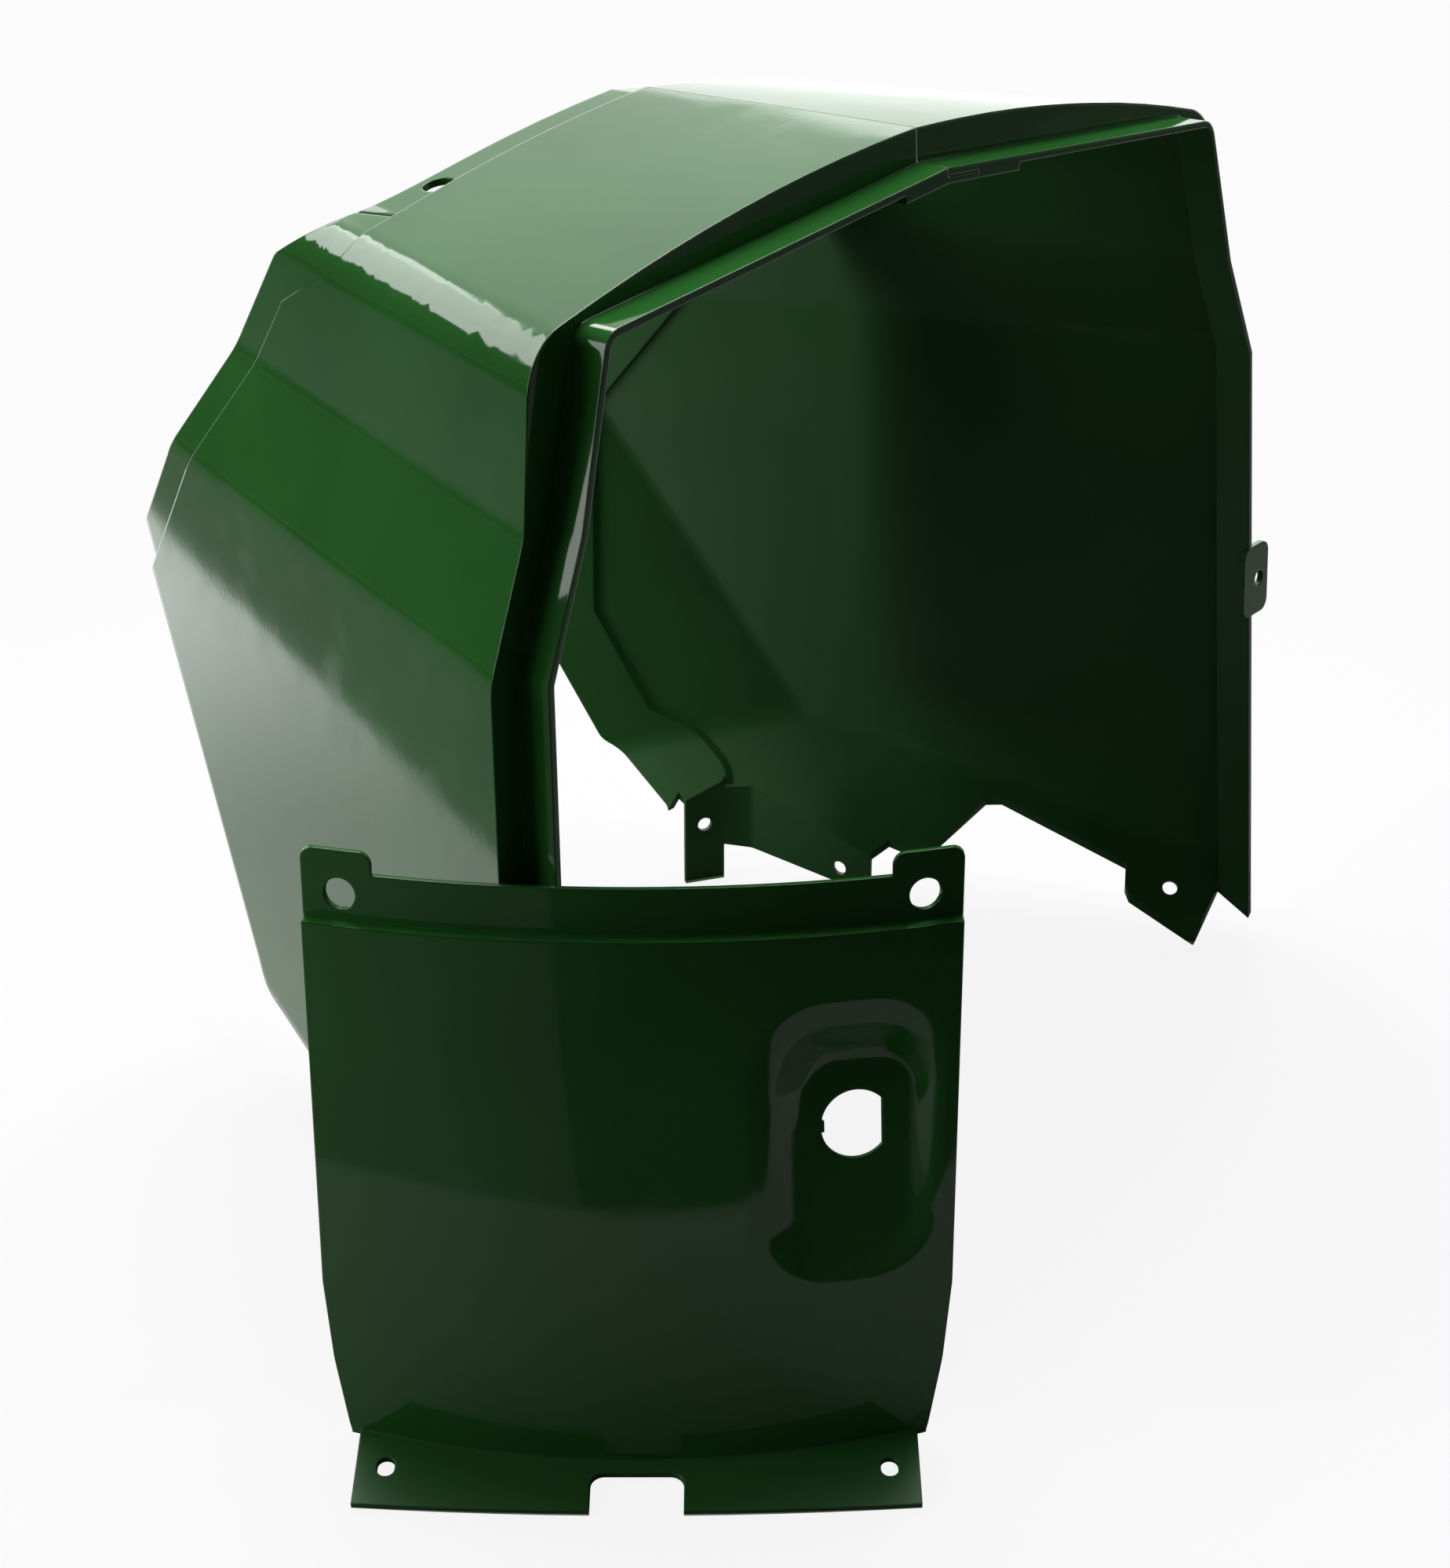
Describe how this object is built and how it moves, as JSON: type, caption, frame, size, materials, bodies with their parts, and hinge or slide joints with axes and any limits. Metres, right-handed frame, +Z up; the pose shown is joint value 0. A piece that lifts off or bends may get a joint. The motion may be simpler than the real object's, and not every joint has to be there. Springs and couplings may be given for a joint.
{
  "type": "tractor cowl cover",
  "caption": "Two-piece moulded dash cowl for a compact tractor with stepped rear rim and joggled front band, and a bowed lower panel with a key-switch pocket.",
  "frame": {"origin": "middle of the set's overall box, on the floor", "axes": "+X to the right side of the tractor, +Y forward, +Z up"},
  "size_m": [0.6424, 0.5072, 0.478],
  "materials": {
    "green_plastic": "smooth moulded gloss, dark tractor green"
  },
  "bodies": {
    "root": {"cowl_left": "green_plastic", "cowl_right": "green_plastic", "switch_panel": "green_plastic"}
  },
  "joints": []
}
